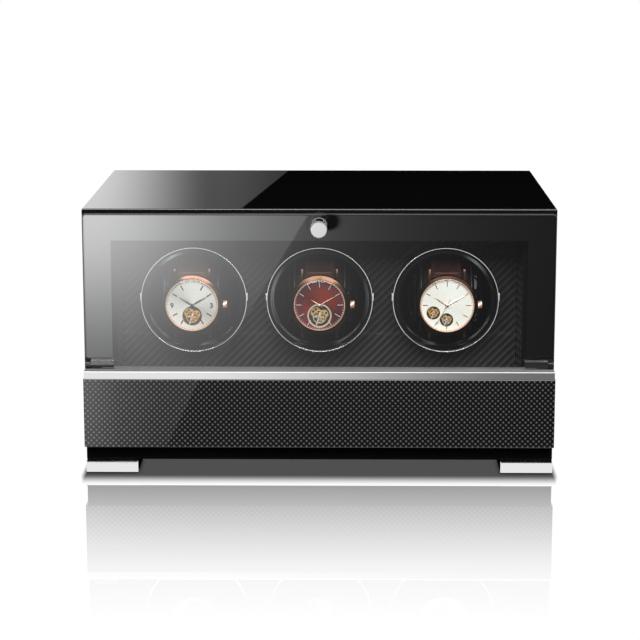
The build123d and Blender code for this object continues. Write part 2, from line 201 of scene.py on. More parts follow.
def twillCarbon():
    values = {"tow": 1.5, "repeat": 4.0, "rib": 0.66, "seam": 0.35, "weft": 0.08, "fibre": 5200,
              "woven": [(0.22, 0.0004), (1.0, 0.045)], "plain": (0.004, 0.004, 0.0045, 1),
              "rough": 0.42, "smooth": 0.08, "half": 0.1468, "drum": 0.0036}
    made, tree, shader = newMaterial("carbonTwill", (0.02,) * 3, values["rough"], Coat_Weight=0.35,
                                     Coat_Roughness=0.06)
    point, across, along = weaveCells(tree, values["tow"])
    slant = calc(tree, "FRACT", calc(tree, "DIVIDE", minus(tree, point[0], point[2]), values["repeat"]))
    reach = calc(tree, "MINIMUM", calc(tree, "DIVIDE", slant, values["rib"]), 1.0)
    rib = calc(tree, "SINE", times(tree, reach, halfTurn))
    warp = times(tree, rib, plus(tree, values["seam"], times(tree, across, 1 - values["seam"])))
    weft = times(tree, minus(tree, 1.0, rib), times(tree, along, values["weft"]))
    fibres = noise(tree, values["fibre"], 1, stretch=(1, 1, 0.08))
    bright = times(tree, plus(tree, warp, weft), plus(tree, 0.6, times(tree, fibres, 0.8)))
    # the drums that stand proud of the panel and its two ends are plain black
    spot = axes(tree)
    drums = calc(tree, "LESS_THAN", spot[1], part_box("winder_fascia")[1].y - values["drum"])
    proud = calc(tree, "MAXIMUM", drums, calc(tree, "GREATER_THAN", calc(tree, "ABSOLUTE", spot[0]), values["half"]))
    link(tree, mixColours(tree, proud, ramp(tree, bright, values["woven"]), values["plain"]),
         shader.inputs["Base Color"])
    rough = minus(tree, values["rough"], times(tree, proud, values["rough"] - values["smooth"]))
    link(tree, rough, shader.inputs["Roughness"])
    bump(tree, shader, times(tree, calc(tree, "MAXIMUM", warp, weft), minus(tree, 1.0, proud)), 0.5, 0.25)
    return made


def plainCarbon():
    values = {"tow": 2.0, "round": 0.55, "fibre": 4200, "woven": [(0.35, 0.0008), (0.62, 0.02), (1.0, 0.095)]}
    made, tree, shader = newMaterial("carbonPlain", (0.02,) * 3, 0.4, Coat_Weight=1.0, Coat_Roughness=0.02,
                                     Specular_IOR_Level=0.12)
    point, across, along = weaveCells(tree, values["tow"])
    step = minus(tree, calc(tree, "FLOOR", point[0]), calc(tree, "FLOOR", point[2]))
    over = calc(tree, "LESS_THAN", calc(tree, "FLOORED_MODULO", step, 2), 0.5)
    dots = times(tree, over, calc(tree, "POWER", times(tree, across, along), values["round"]))
    fibres = noise(tree, values["fibre"], 1, stretch=(1, 1, 0.1))
    bright = times(tree, dots, plus(tree, 0.78, times(tree, fibres, 0.45)))
    tint(tree, shader, bright, values["woven"])
    bump(tree, shader, calc(tree, "MAXIMUM", dots, times(tree, along, 0.5)), 0.35, 0.25)
    return made


def lightPasses(tree, surface):  # lamps shine through, so that what is behind is lit
    clear = addNode(tree, "BsdfTransparent", Color=(0.96, 0.97, 0.97, 1))
    path = addNode(tree, "LightPath")
    mirrored = minus(tree, path.outputs["Is Glossy Ray"], path.outputs["Is Transmission Ray"])
    rays = calc(tree, "MAXIMUM", path.outputs["Is Diffuse Ray"], mirrored)
    either = calc(tree, "MAXIMUM", path.outputs["Is Shadow Ray"], rays)
    link(tree, mixShaders(tree, either, surface, clear.outputs[0]), tree.nodes["Material Output"].inputs["Surface"])


def crystalGlass():
    made, tree, shader = newMaterial("watchCrystal", (1.0, 1.0, 1.0), 0.0, Transmission_Weight=1.0, IOR=1.42,
                                     Specular_IOR_Level=0.2)
    lightPasses(tree, shader.outputs[0])
    return made


def paneGlass():
    made, tree, shader = newMaterial("doorPane", (0.95, 0.96, 0.96), 0.0, Transmission_Weight=1.0, IOR=1.5,
                                     Specular_IOR_Level=0.5, Coat_Roughness=0.335)
    inside = addNode(tree, "NewGeometry").outputs["Backfacing"]  # the haze is on the outer skin only
    link(tree, minus(tree, 1.0, inside), shader.inputs["Coat Weight"])
    # the outer 0.6 mm is a ground edge
    high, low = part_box("door_glass")[1] - Vector((0.0006,) * 3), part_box("door_glass")[0].z + 0.0006
    spot = axes(tree)
    sideEdge = calc(tree, "GREATER_THAN", calc(tree, "ABSOLUTE", spot[0]), high.x)
    topEdge = calc(tree, "GREATER_THAN", spot[2], high.z)
    edge = calc(tree, "MAXIMUM", calc(tree, "MAXIMUM", sideEdge, topEdge), calc(tree, "LESS_THAN", spot[2], low))
    ground = addNode(tree, "BsdfPrincipled", Roughness=0.35)
    tint(tree, ground, noise(tree, 900, 2), [(0.3, (0.20, 0.215, 0.21)), (0.7, (0.30, 0.315, 0.31))])
    lightPasses(tree, mixShaders(tree, edge, shader.outputs[0], ground.outputs[0]))
    return made


def facingUp(tree):
    return axes(tree, addNode(tree, "NewGeometry").outputs["Normal"])[2]


def pullChrome():  # polished in front and satin on its upper face
    made, tree, shader = newMaterial("pullChrome", (0.86, 0.86, 0.87), 0.05, Metallic=1.0)
    up = facingUp(tree)
    tint(tree, shader, up, [(0.5, (0.86, 0.86, 0.87)), (0.8, (0.2, 0.2, 0.2))])
    link(tree, ramp(tree, up, [(0.1, 1.0), (0.35, 0.0)]), shader.inputs["Metallic"])
    link(tree, ramp(tree, up, [(0.05, 0.05), (0.3, 0.5)]), shader.inputs["Roughness"])
    return made


def hingeBlackPaintedTop():  # black like the printed border, with a painted highlight: its upper faces are coloured light grey where the lamp above catches them
    made, tree, shader = newMaterial("hingeBlackPaintedTop", (0.004,) * 3, 0.38, Specular_IOR_Level=0.2, Coat_Weight=1.0,
                                     Coat_Roughness=0.33)
    up = facingUp(tree)
    # painted highlight: light grey on the faces that point up
    tint(tree, shader, up, [(0.6, (0.004,) * 3), (0.9, (0.45,) * 3)])
    return made


def leather(name, dark, light, scale):
    made, tree, shader = newMaterial(name, dark, 0.42, Specular_IOR_Level=0.35)
    cells = addNode(tree, "TexVoronoi", Vector=objectPoint(tree), Scale=scale)
    cells.feature = "DISTANCE_TO_EDGE"
    tint(tree, shader, noise(tree, 70, 4), [(0.3, dark), (0.75, light)])
    mottle(tree, shader, 160, 0.34, 0.55)
    creases = calc(tree, "MINIMUM", cells.outputs[0], 0.16)
    grain = plus(tree, creases, times(tree, noise(tree, 3000, 2), 0.08))
    bump(tree, shader, grain, 0.5, 0.25)
    return made


def velvet(name, dark, light):
    made, tree, shader = newMaterial(name, dark, 0.95, Sheen_Weight=0.6, Sheen_Roughness=0.4, Specular_IOR_Level=0.1)
    tint(tree, shader, noise(tree, 60, 5), [(0.3, dark), (0.72, light)])
    bump(tree, shader, noise(tree, 2600, 2), 0.5, 0.2)
    return made


def sunDial(name, base, glint, inner=None):
    # fine rays from the middle: the angle round the dial drives a narrow noise
    made, tree, shader = newMaterial(name, base, 0.35, Metallic=0.1, Specular_IOR_Level=0.4)
    spot = axes(tree, addNode(tree, "UVMap").outputs[0])
    angle = calc(tree, "ARCTAN2", spot[1], spot[0])
    rays = addNode(tree, "CombineXYZ", X=times(tree, angle, 26.0))
    fine = addNode(tree, "TexNoise", Vector=rays.outputs[0], Scale=3.0, Detail=3.0).outputs[0]
    # painted sheen: two opposite sectors of the dial are made lighter, as a lamp's reflection would light a sunray
    # dial; the glint colour is this painted highlight, while the fine rays are the dial's own brushing
    broad = calc(tree, "ABSOLUTE", calc(tree, "SINE", plus(tree, angle, 0.55)))
    lit = plus(tree, times(tree, fine, 0.45), times(tree, broad, 0.6))
    shade = ramp(tree, lit, [(0.2, base), (0.95, glint)])
    if inner:
        reach = calc(tree, "SQRT", plus(tree, times(tree, spot[0], spot[0]), times(tree, spot[1], spot[1])))
        outerShade = ramp(tree, lit, [(0.2, inner["base"]), (0.95, inner["glint"])])
        shade = mixColours(tree, calc(tree, "GREATER_THAN", reach, inner["radius"]), shade, outerShade)
    link(tree, shade, shader.inputs["Base Color"])
    bump(tree, shader, fine, 0.08, 0.02)
    return made


look = {
    "lacquer": lacquer("pianoLacquer", 0.42),
    "plinth": lacquer("plinthLacquer", 0.02),
    "twill": twillCarbon(),
    "plainWeave": plainCarbon(),
    "chrome": metal("polishedChrome", (0.86, 0.86, 0.87), 0.05),
    "hingeBlackPaintedTop": hingeBlackPaintedTop(),
    "pullChrome": pullChrome(),
    "pane": paneGlass(),
    "crystal": crystalGlass(),
    "borderInk": newMaterial("borderInk", (0.004, 0.004, 0.0045), 0.42, Specular_IOR_Level=0.3)[0],
    # rose gold made dark: painted shade on the watch cases and lugs
    "roseGoldPaintedShade": metal("roseGoldPaintedShade", (0.1, 0.05, 0.032), 0.2),
    "cup": lacquer("cupGloss", 0.5),
    "cushion": leather("cushionSkin", (0.010, 0.009, 0.009), (0.028, 0.024, 0.023), 900),
    "roseGold": metal("roseGold", (0.9, 0.56, 0.42), 0.09),
    "brushedRose": metal("brushedRose", (0.86, 0.56, 0.43), 0.22, 0.2),
    "steel": metal("brightSteel", (0.7, 0.71, 0.73), 0.14),
    "gearGold": newMaterial("gearGold", (0.82, 0.50, 0.17), 0.3, Metallic=0.4)[0],
    "gearSilver": newMaterial("gearSilver", (0.72, 0.70, 0.64), 0.3, Metallic=0.4)[0],
    "wellDark": newMaterial("wellDark", (0.10, 0.05, 0.02), 0.4, Metallic=0.4)[0],
    "satinRose": newMaterial("satinRose", (0.8, 0.5, 0.38), 0.34, Metallic=0.45)[0],
    "darkSteel": metal("blackenedSteel", (0.08, 0.08, 0.085), 0.32),
    "sheet": metal("zincSheet", (0.52, 0.53, 0.55), 0.34, 0.3),
    "rubber": plainPlastic("padRubber", (0.018, 0.018, 0.018), 0.8, 0.3),
    "blackPlastic": plainPlastic("blackMoulding", (0.016, 0.016, 0.017), 0.38),
    "rearBoard": plainPlastic("rearBoard", (0.02, 0.02, 0.021), 0.55, 0.35, 1100),
    "tray": plainPlastic("trayBoard", (0.018, 0.018, 0.019), 0.5, 0.25),
    "nylon": plainPlastic("pulleyNylon", (0.74, 0.73, 0.69), 0.45),
    "board": plainPlastic("circuitBoard", (0.02, 0.12, 0.06), 0.4),
    "lamp": plainPlastic("lampDiffuser", (0.62, 0.62, 0.6), 0.5),
    "ink": plainPlastic("whiteInk", (0.72, 0.72, 0.72), 0.6, 0.05),
    "thread": plainPlastic("strapThread", (0.16, 0.05, 0.032), 0.7, 0.4),
    "ruby": newMaterial("rubyJewel", (0.62, 0.02, 0.06), 0.08, Coat_Weight=0.5)[0],
    "darkInk": plainPlastic("dialInk", (0.03, 0.018, 0.014), 0.4, 0.05),
    "velvet": velvet("drawerVelvet", (0.018, 0.018, 0.02), (0.045, 0.045, 0.048)),
}
nodeLooks = {
    "lacquer": ["top_panel", "side_panel_left", "side_panel_right", "shelf_panel", "face_frame"],
    "plinth": ["bottom_panel"],
    "twill": ["winder_fascia"],
    "plainWeave": ["drawer_front"],
    "chrome": ["foot_front_left", "foot_front_right", "foot_back_left", "foot_back_right", "door_knob",
               "door_magnet"],
    "pullChrome": ["drawer_pull"],
    "hingeBlackPaintedTop": ["hinge_shoes"],
    "borderInk": ["knob_backplate", "door_pivot_ears", "hinge_pins"],
    "pane": ["door_glass"],
    "cup": ["rotor_cup_left", "rotor_cup_center", "rotor_cup_right"],
    "sheet": ["motor_plate", "drawer_runners_fixed", "drawer_runners_moving"],
    "steel": ["motor_left", "motor_center", "motor_right", "rotor_axles"],
    "darkSteel": ["rear_panel_screws"],
    "nylon": ["motor_pulley_left", "motor_pulley_center", "motor_pulley_right"],
    "rubber": ["foot_pads", "drive_belts"],
    "rearBoard": ["rear_panel"],
    "blackPlastic": ["selector_knob_left", "selector_knob_center", "selector_knob_right", "switch_body",
                     "power_rocker", "dc_jack"],
    "board": ["control_board"],
    "lamp": ["light_bar"],
    "tray": ["drawer_box"],
    "velvet": ["drawer_lining"],
}
for finish, members in nodeLooks.items():
    for member in members:
        nodes[member].data.materials.clear()
        nodes[member].data.materials.append(look[finish])
print("materials on the cabinet nodes")


# ---- mesh helpers: shapes are drawn in millimetres about a place in metres ------------------

def finishPiece(name, bm, finish, body, place=(0, 0, 0), sharp=35.0):
    bmesh.ops.remove_doubles(bm, verts=bm.verts, dist=1e-4)
    bmesh.ops.recalc_face_normals(bm, faces=bm.faces)
    bmesh.ops.transform(bm, matrix=Matrix.Translation(place) @ Matrix.Scale(mm, 4), verts=bm.verts)
    mesh = bpy.data.meshes.new(name)
    bm.to_mesh(mesh)
    bm.free()
    return addMesh(name, mesh, finish, body, sharp)


def addMesh(name, mesh, finish, body, sharp=35.0):
    mesh.materials.clear()
    mesh.materials.append(look[finish])
    mesh.polygons.foreach_set("use_smooth", [True] * len(mesh.polygons))
    mesh.set_sharp_from_angle(angle=math.radians(sharp))
    piece = bpy.data.objects.new(name, mesh)
    scene.collection.objects.link(piece)
    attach(piece, body)
    return piece


def revolve(bm, profile, x=0.0, z=0.0, steps=96, angle=fullTurn):  # profile holds (radius, y)
    points = [bm.verts.new((x + radius, y, z)) for radius, y in profile]
    edges = [bm.edges.new(two) for two in zip(points, points[1:])]
    bmesh.ops.spin(bm, geom=points + edges, cent=(x, 0, z), axis=(0, 1, 0), angle=angle, steps=steps,
                   use_merge=angle == fullTurn)


def plate(bm, outlines, y, thick):
    # the first outline is the outside, and the others are holes in it
    fresh = []
    for outline in outlines:
        loop = [bm.verts.new((u, y, v)) for u, v in outline]
        fresh += [bm.edges.new(two) for two in zip(loop, loop[1:] + loop[:1])]
    made = bmesh.ops.triangle_fill(bm, use_beauty=True, edges=fresh, normal=(0, -1, 0))
    faces = [item for item in made["geom"] if isinstance(item, bmesh.types.BMFace)]
    grown = bmesh.ops.extrude_face_region(bm, geom=faces)
    moved = [item for item in grown["geom"] if isinstance(item, bmesh.types.BMVert)]
    bmesh.ops.translate(bm, vec=(0, thick, 0), verts=moved)


def ringOutline(radius, count=96, x=0.0, z=0.0, tooth=0.0):
    spots = []
    for k in range(count):
        reach = radius - (tooth if k % 4 in (0, 1) else 0.0)
        spots.append((x + reach * math.cos(fullTurn * k / count), z + reach * math.sin(fullTurn * k / count)))
    return spots


def brick(bm, low, high, edge=0.0, segments=2):
    made = bmesh.ops.create_cube(bm, size=1.0)
    size = [b - a for a, b in zip(low, high)]
    middle = [(a + b) / 2 for a, b in zip(low, high)]
    bmesh.ops.scale(bm, vec=size, verts=made["verts"])
    bmesh.ops.translate(bm, vec=middle, verts=made["verts"])
    if edge:
        edges = list({e for v in made["verts"] for e in v.link_edges})
        made = bmesh.ops.bevel(bm, geom=edges, offset=edge, segments=segments, profile=0.5, affect="EDGES",
                               material=-1)
    return made["verts"]


def roundAt(hour, radius):  # a clock face's place, with twelve at the top
    turn = fullTurn * hour / 12
    return radius * math.sin(turn), radius * math.cos(turn)


def turned(bm, verts, hour):
    bmesh.ops.rotate(bm, cent=(0, 0, 0), matrix=Matrix.Rotation(fullTurn * hour / 12, 3, "Y"), verts=verts)


# ---- watches --------------------------------------------------------------------------------

watches = {
    "left": {
        "dial": 18.3, "rim": 18.75,
        "base": (0.42, 0.40, 0.375), "glint": (0.74, 0.71, 0.67), "inner": None,
        "windows": [{"x": 0.0, "z": -8.2, "radius": 7.1, "ring": None, "warm": True}],
        "baton": {"finish": "roseGold", "inner": 12.3, "outer": 16.3, "width": 0.9, "skip": (3, 6, 9, 12)},
        "dots": {"finish": "darkInk", "radius": 17.4, "size": 0.22},
        "numerals": {"9": (-14.6, -2.2), "3": (14.1, -2.2)},
        "hands": {"finish": "darkInk", "hour": (10.05, 11.5, 1.2), "minute": (2.0, 15.0, 1.0),
                  "second": None},
        "strap": ((0.030, 0.014, 0.010), (0.075, 0.034, 0.024)),
    },
    "center": {
        "dial": 17.7, "rim": 18.25,
        "base": (0.085, 0.009, 0.005), "glint": (0.24, 0.030, 0.015),
        "inner": {"radius": 12.2, "base": (0.050, 0.008, 0.012), "glint": (0.17, 0.030, 0.035)},
        "windows": [{"x": 0.0, "z": -7.9, "radius": 7.9, "ring": "gearSilver", "warm": False}],
        "baton": {"finish": "gearSilver", "inner": 12.9, "outer": 16.8, "width": 0.6, "skip": (6,)},
        "dots": {"finish": "ink", "radius": 17.1, "size": 0.2},
        "numerals": {},
        "hands": {"finish": "satinRose", "hour": (10.1, 7.8, 0.8), "minute": (2.0, 15.8, 0.8),
                  "second": None},
        "strap": ((0.026, 0.010, 0.008), (0.062, 0.022, 0.017)),
    },
    "right": {
        "dial": 18.95, "rim": 19.35,
        "base": (0.88, 0.85, 0.78), "glint": (0.97, 0.95, 0.89), "inner": None,
        "windows": [{"x": -9.9, "z": -5.7, "radius": 4.9, "ring": None, "warm": True},
                    {"x": -0.3, "z": -10.8, "radius": 4.9, "ring": None, "warm": False}],
        "baton": {"finish": "brushedRose", "inner": 13.8, "outer": 17.5, "width": 0.6, "skip": (8,)},
        "dots": {"finish": "darkInk", "radius": 18.2, "size": 0.16},
        "numerals": {},
        "hands": {"finish": "brushedRose", "trim": "darkInk", "hour": (10.1, 11.6, 1.0), "minute": (2.0, 17.5, 0.9),
                  "second": (6.95, 15.2)},
        "strap": ((0.024, 0.010, 0.008), (0.055, 0.019, 0.015)),
    },
}


def hand(bm, hour, length, width, y, tail=3.0):
    # two facets meet in a ridge along the middle
    ridge = 0.32
    tip = bm.verts.new((0, y - ridge * 0.4, length))
    end = bm.verts.new((0, y - ridge, -tail))
    left = bm.verts.new((-width / 2, y, length * 0.3))
    right = bm.verts.new((width / 2, y, length * 0.3))
    faces = [bm.faces.new((end, tip, left)), bm.faces.new((tip, end, right))]
    grown = bmesh.ops.extrude_face_region(bm, geom=faces)
    moved = [item for item in grown["geom"] if isinstance(item, bmesh.types.BMVert)]
    bmesh.ops.translate(bm, vec=(0, 0.16, 0), verts=moved)
    turned(bm, moved + [tip, end, left, right], hour)


def gear(bm, x, z, radius, y, thick, teeth, spokes):
    outlines = [ringOutline(radius, teeth * 4, x, z, tooth=radius * 0.12)]
    reach = radius * 0.5
    for k in range(spokes):
        turn = fullTurn * (k + 0.3) / spokes
        outlines.append(ringOutline(radius * 0.26, 16, x + reach * math.cos(turn), z + reach * math.sin(turn)))
    plate(bm, outlines, y, thick)


def movementWindow(name, spec, place, body):
    # what turns behind a dial's opening: a balance, two wheels, a bridge with screws and jewels
    x, z, radius = spec["x"], spec["z"], spec["radius"]
    floor = bmesh.new()
    revolve(floor, [(0, 1.9), (radius - 0.1, 1.9), (radius, 1.8), (radius, 0.1)], x, z, 48)
    finishPiece(f"{name}_well", floor, "wellDark", body, place)
    wheels = bmesh.new()
    gear(wheels, x - radius * 0.34, z + radius * 0.3, radius * 0.5, 1.2, 0.25, 24, 5)
    gear(wheels, x + radius * 0.42, z + radius * 0.12, radius * 0.42, 1.5, 0.2, 20, 4)
    gear(wheels, x + radius * 0.1, z - radius * 0.46, radius * 0.34, 1.35, 0.2, 16, 4)
    finishPiece(f"{name}_wheels", wheels, "gearGold", body, place)
    balance = bmesh.new()
    reach = radius * 0.62
    centre = (x, z - radius * 0.12)
    revolve(balance, [(reach, 0.6), (reach, 0.95), (reach - 0.5, 0.95), (reach - 0.5, 0.6), (reach, 0.6)], *centre, 48)
    for k in range(3):
        spoke = brick(balance, (-0.22, 0.66, 0), (0.22, 0.86, reach - 0.3))
        turned(balance, spoke, 12 * (k + 0.2) / 3)
        bmesh.ops.translate(balance, vec=(centre[0], 0, centre[1]), verts=spoke)
    for k in range(8):
        turn = fullTurn * (k + 0.5) / 8
        revolve(balance, [(0, 0.5), (0.24, 0.5), (0.28, 0.6)], centre[0] + (reach - 0.25) * math.cos(turn),
                centre[1] + (reach - 0.25) * math.sin(turn), 12)
    for k in range(3):  # hairspring
        coil = radius * (0.16 + 0.09 * k)
        revolve(balance, [(coil, 0.98), (coil, 1.1), (coil - 0.1, 1.1), (coil - 0.1, 0.98), (coil, 0.98)], *centre, 32)
    finishPiece(f"{name}_balance", balance, "gearGold" if spec["warm"] else "gearSilver", body, place)
    bridge = bmesh.new()
    bar = brick(bridge, (-0.55, 0.12, -radius * 0.92), (0.55, 0.45, radius * 0.2), 0.12)
    bmesh.ops.rotate(bridge, cent=(0, 0, 0), matrix=Matrix.Rotation(0.32, 3, "Y"), verts=bar)
    bmesh.ops.translate(bridge, vec=(x, 0, z - radius * 0.02), verts=bar)
    revolve(bridge, [(0.5, 0.02), (1.0, 0.02), (1.1, 0.12), (1.1, 0.5)], *centre, 24)
    finishPiece(f"{name}_bridge", bridge, "gearSilver", body, place)
    jewels = bmesh.new()
    for u, v, size in ((centre[0], centre[1], 0.5), (x - radius * 0.34, z + radius * 0.3, 0.42),
                       (x + radius * 0.42, z + radius * 0.12, 0.36)):
        revolve(jewels, [(0, -0.02), (size * 0.7, 0.0), (size, 0.12), (size, 0.5)], u, v, 16)
    finishPiece(f"{name}_jewels", jewels, "ruby", body, place)
    if spec["ring"]:
        collar = bmesh.new()
        profile = [(radius + 0.9, -0.02), (radius + 0.75, -0.22), (radius - 0.1, -0.22), (radius - 0.25, 0.3)]
        revolve(collar, profile, x, z, 64)
        finishPiece(f"{name}_collar", collar, spec["ring"], body, place)


def dialUv(piece, place):
    layer = piece.data.uv_layers.new(name="UVMap")
    for loop in piece.data.loops:
        spot = piece.data.vertices[loop.vertex_index].co
        layer.data[loop.index].uv = ((spot.x - place[0]) / mm, (spot.z - place[2]) / mm)


def watchCase(side, watch, place, body):
    rim, outer = watch["rim"], 22.0
    case = bmesh.new()
    revolve(case, [(0, 2.1), (rim - 0.3, 2.1), (rim - 0.3, -1.4), (rim + 0.5, -1.9), (rim + 0.9, -1.6),
                   (outer - 0.3, -0.6), (outer, 0.0), (outer - 0.25, 0.3), (outer, 0.6),
                   (outer, 3.6), (outer - 0.5, 5.2), (outer - 2.2, 6.5), (0, 6.5)], steps=128)
    # the case and its lugs are rose gold painted dark: painted shade for the dark room their polish would mirror
    piece = finishPiece(f"watch_case_body_{side}", case, "roseGoldPaintedShade", body, place, 28)
    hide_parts(f"watch_case_{side}")
    lip = bmesh.new()
    revolve(lip, [(rim - 0.35, -1.3), (rim - 0.3, -2.1), (rim - 0.05, -2.4), (rim + 0.25, -2.4), (rim + 0.5, -2.1),
                  (rim + 0.55, -1.5)], steps=128)
    finishPiece(f"watch_lip_{side}", lip, "satinRose", body, place)
    lugs = bmesh.new()
    for across in (-1, 1):
        for end in (-1, 1):
            verts = brick(lugs, (11.5, 1.0, 15.5), (14.6, 6.4, 26.3), 0.55, 3)
            for vert in verts:
                lean = max(0.0, (vert.co.z - 15.5) / 10.8)
                vert.co.y = vert.co.y + 1.6 * lean * (1.0 if vert.co.y < 4 else 0.25)
                vert.co.x = vert.co.x + (0.0 if vert.co.x < 13 else -1.0 * lean)
            bmesh.ops.scale(lugs, vec=(across, 1, end), verts=verts)
    finishPiece(f"watch_lugs_{side}", lugs, "roseGoldPaintedShade", body, place)
    crown = bmesh.new()
    made = bmesh.ops.create_cone(crown, cap_ends=True, segments=40, radius1=2.7, radius2=2.7, depth=2.9)
    flutes = [f for f in crown.faces if len(f.verts) == 4][::2]
    bmesh.ops.inset_individual(crown, faces=flutes, thickness=0.03, depth=-0.22)
    caps = [e for f in crown.faces if len(f.verts) > 4 for e in f.edges]
    bmesh.ops.bevel(crown, geom=caps, offset=0.2, segments=2, profile=0.5, affect="EDGES", material=-1)
    bmesh.ops.rotate(crown, cent=(0, 0, 0), matrix=Matrix.Rotation(halfTurn / 2, 3, "Y"), verts=crown.verts)
    bmesh.ops.translate(crown, vec=(24.0, 2.0, 0), verts=crown.verts)
    finishPiece(f"watch_crown_{side}", crown, "satinRose", body, place)


def watchDial(side, watch, place, body):
    radius = watch["dial"]
    face = bmesh.new()
    holes = [ringOutline(w["radius"], 64, w["x"], w["z"]) for w in watch["windows"]]
    plate(face, [ringOutline(radius, 128)] + holes, 0.0, 0.35)
    look[f"dial_{side}"] = sunDial(f"sunrayDial_{side}", watch["base"], watch["glint"], watch["inner"])
    dialUv(finishPiece(f"watch_dial_{side}", face, f"dial_{side}", body, place), place)
    for number, spec in enumerate(watch["windows"]):
        movementWindow(f"watch_{side}_window_{number}", spec, place, body)

    baton = watch["baton"]
    marks = bmesh.new()
    for hour in range(1, 13):
        if hour in baton["skip"]:
            continue
        wide = baton["width"] / 2
        verts = brick(marks, (-wide, -0.42, baton["inner"]), (wide, 0.02, baton["outer"]), 0.18, 1)
        turned(marks, verts, hour)
    finishPiece(f"watch_batons_{side}", marks, baton["finish"], body, place)

    dots = bmesh.new()
    for minute in range(60):
        u, v = roundAt(minute / 5, watch["dots"]["radius"])
        revolve(dots, [(0, -0.08), (watch["dots"]["size"], -0.06), (watch["dots"]["size"], 0.02)], u, v, 8)
    finishPiece(f"watch_dots_{side}", dots, watch["dots"]["finish"], body, place)

    rehaut = bmesh.new()  # the sloped ring between the dial and the crystal
    rim = watch["rim"]
    revolve(rehaut, [(radius - 0.35, -0.01), (radius - 0.1, -0.3), (rim - 0.15, -1.6), (rim + 0.1, -1.6)])
    finishPiece(f"watch_rehaut_{side}", rehaut, "roseGold", body, place)

    for text, spot in watch["numerals"].items():
        curve = bpy.data.curves.new(f"numeral{text}", "FONT")
        curve.body = text
        curve.size = 5.0
        curve.offset = 0.12
        curve.extrude = 0.12
        curve.align_x = "CENTER"
        flat = bpy.data.objects.new(f"numeral{text}", curve)
        scene.collection.objects.link(flat)
        bpy.context.view_layer.update()
        mesh = bpy.data.meshes.new_from_object(flat.evaluated_get(bpy.context.evaluated_depsgraph_get()))
        bpy.data.objects.remove(flat)
        upright = Matrix.Translation((spot[0], -0.1, spot[1])) @ Matrix.Rotation(halfTurn / 2, 4, "X")
        mesh.transform(Matrix.Translation(place) @ Matrix.Scale(mm, 4) @ upright)
        addMesh(f"watch_numeral_{text}_{side}", mesh, "darkInk", body)


def watchHands(side, watch, place, body):
    hands = watch["hands"]
    pointers = bmesh.new()
    hand(pointers, *hands["hour"], y=-0.75)
    hand(pointers, *hands["minute"], y=-1.05)
    finishPiece(f"watch_hands_{side}", pointers, hands["finish"], body, place, 5)
    if hands["second"]:
        hour, length = hands["second"]
        sweep = bmesh.new()
        turned(sweep, brick(sweep, (-0.11, -1.5, -5.0), (0.11, -1.38, length)), hour)
        finishPiece(f"watch_second_hand_{side}", sweep, hands["trim"], body, place)
    cap = bmesh.new()
    revolve(cap, [(0, -1.75), (0.7, -1.7), (0.95, -1.5), (0.95, -0.1)], steps=32)
    finishPiece(f"watch_hand_cap_{side}", cap, hands["finish"], body, place)
    crystal = bmesh.new()
    edge = watch["rim"] + 0.2
    revolve(crystal, [(0, -2.9), (edge * 0.7, -2.82), (edge - 0.3, -2.6), (edge, -2.4), (edge, -1.7),
                      (edge - 0.1, -1.6), (0, -1.85)])
    finishPiece(f"watch_crystal_{side}", crystal, "crystal", body, place)


# ---- cushions and straps ----------------------------------------------------------------------

def sweepRound(bm, section, box, corner):
    # section holds (x, outward); it is carried round four straight runs and four corners
    low, high = box[0] / mm, box[1] / mm
    yMiddle, zMiddle = (low.y + high.y) / 2, (low.z + high.z) / 2
    halfY, halfZ = (high.y - low.y) / 2, (high.z - low.z) / 2
    loop = [bm.verts.new((x, yMiddle - halfY - out, zMiddle)) for x, out in section]
    geom = loop + [bm.edges.new(two) for two in zip(loop, loop[1:] + loop[:1])]
    directions = [(0, 0, 1), (0, 1, 0), (0, 0, -1), (0, -1, 0)]
    centres = [(-1, 1), (1, 1), (1, -1), (-1, -1)]
    runs = [halfZ - corner, 2 * (halfY - corner), 2 * (halfZ - corner), 2 * (halfY - corner)]
    for number in range(5):
        way = Vector(directions[number % 4])
        run = (runs + [halfZ - corner])[number]
        for _ in range(3):
            grown = bmesh.ops.extrude_edge_only(bm, edges=[g for g in geom if isinstance(g, bmesh.types.BMEdge)])
            geom = [g for g in grown["geom"] if isinstance(g, (bmesh.types.BMVert, bmesh.types.BMEdge))]
            fresh = [g for g in geom if isinstance(g, bmesh.types.BMVert)]
            bmesh.ops.translate(bm, vec=way * run / 3, verts=fresh)
            keep = set(fresh)
            geom = fresh + [g for g in geom if isinstance(g, bmesh.types.BMEdge) and all(v in keep for v in g.verts)]
        if number == 4:
            break
        sy, sz = centres[number]
        centre = (0, yMiddle + sy * (halfY - corner), zMiddle + sz * (halfZ - corner))
        swung = bmesh.ops.spin(bm, geom=geom, cent=centre, axis=(1, 0, 0), angle=-halfTurn / 2, steps=12)
        geom = list(swung["geom_last"])


def loopSpot(box, corner, out, travel):
    # the place and direction at a distance along the loop, from the middle of the front going up
    low, high = box[0] / mm, box[1] / mm
    yMiddle, zMiddle = (low.y + high.y) / 2, (low.z + high.z) / 2
    halfY, halfZ = (high.y - low.y) / 2, (high.z - low.z) / 2
    straight = halfZ - corner
    arc = halfTurn / 2 * corner
    if travel < straight:
        return Vector((0, yMiddle - halfY - out, zMiddle + travel)), 0.0
    travel -= straight
    if travel < arc:
        turn = travel / corner
        reach = corner + out
        y, z = yMiddle - halfY + corner - reach * math.cos(turn), zMiddle + halfZ - corner + reach * math.sin(turn)
        return Vector((0, y, z)), turn
    travel -= arc
    return Vector((0, yMiddle - halfY + corner + travel, zMiddle + halfZ + out)), halfTurn / 2


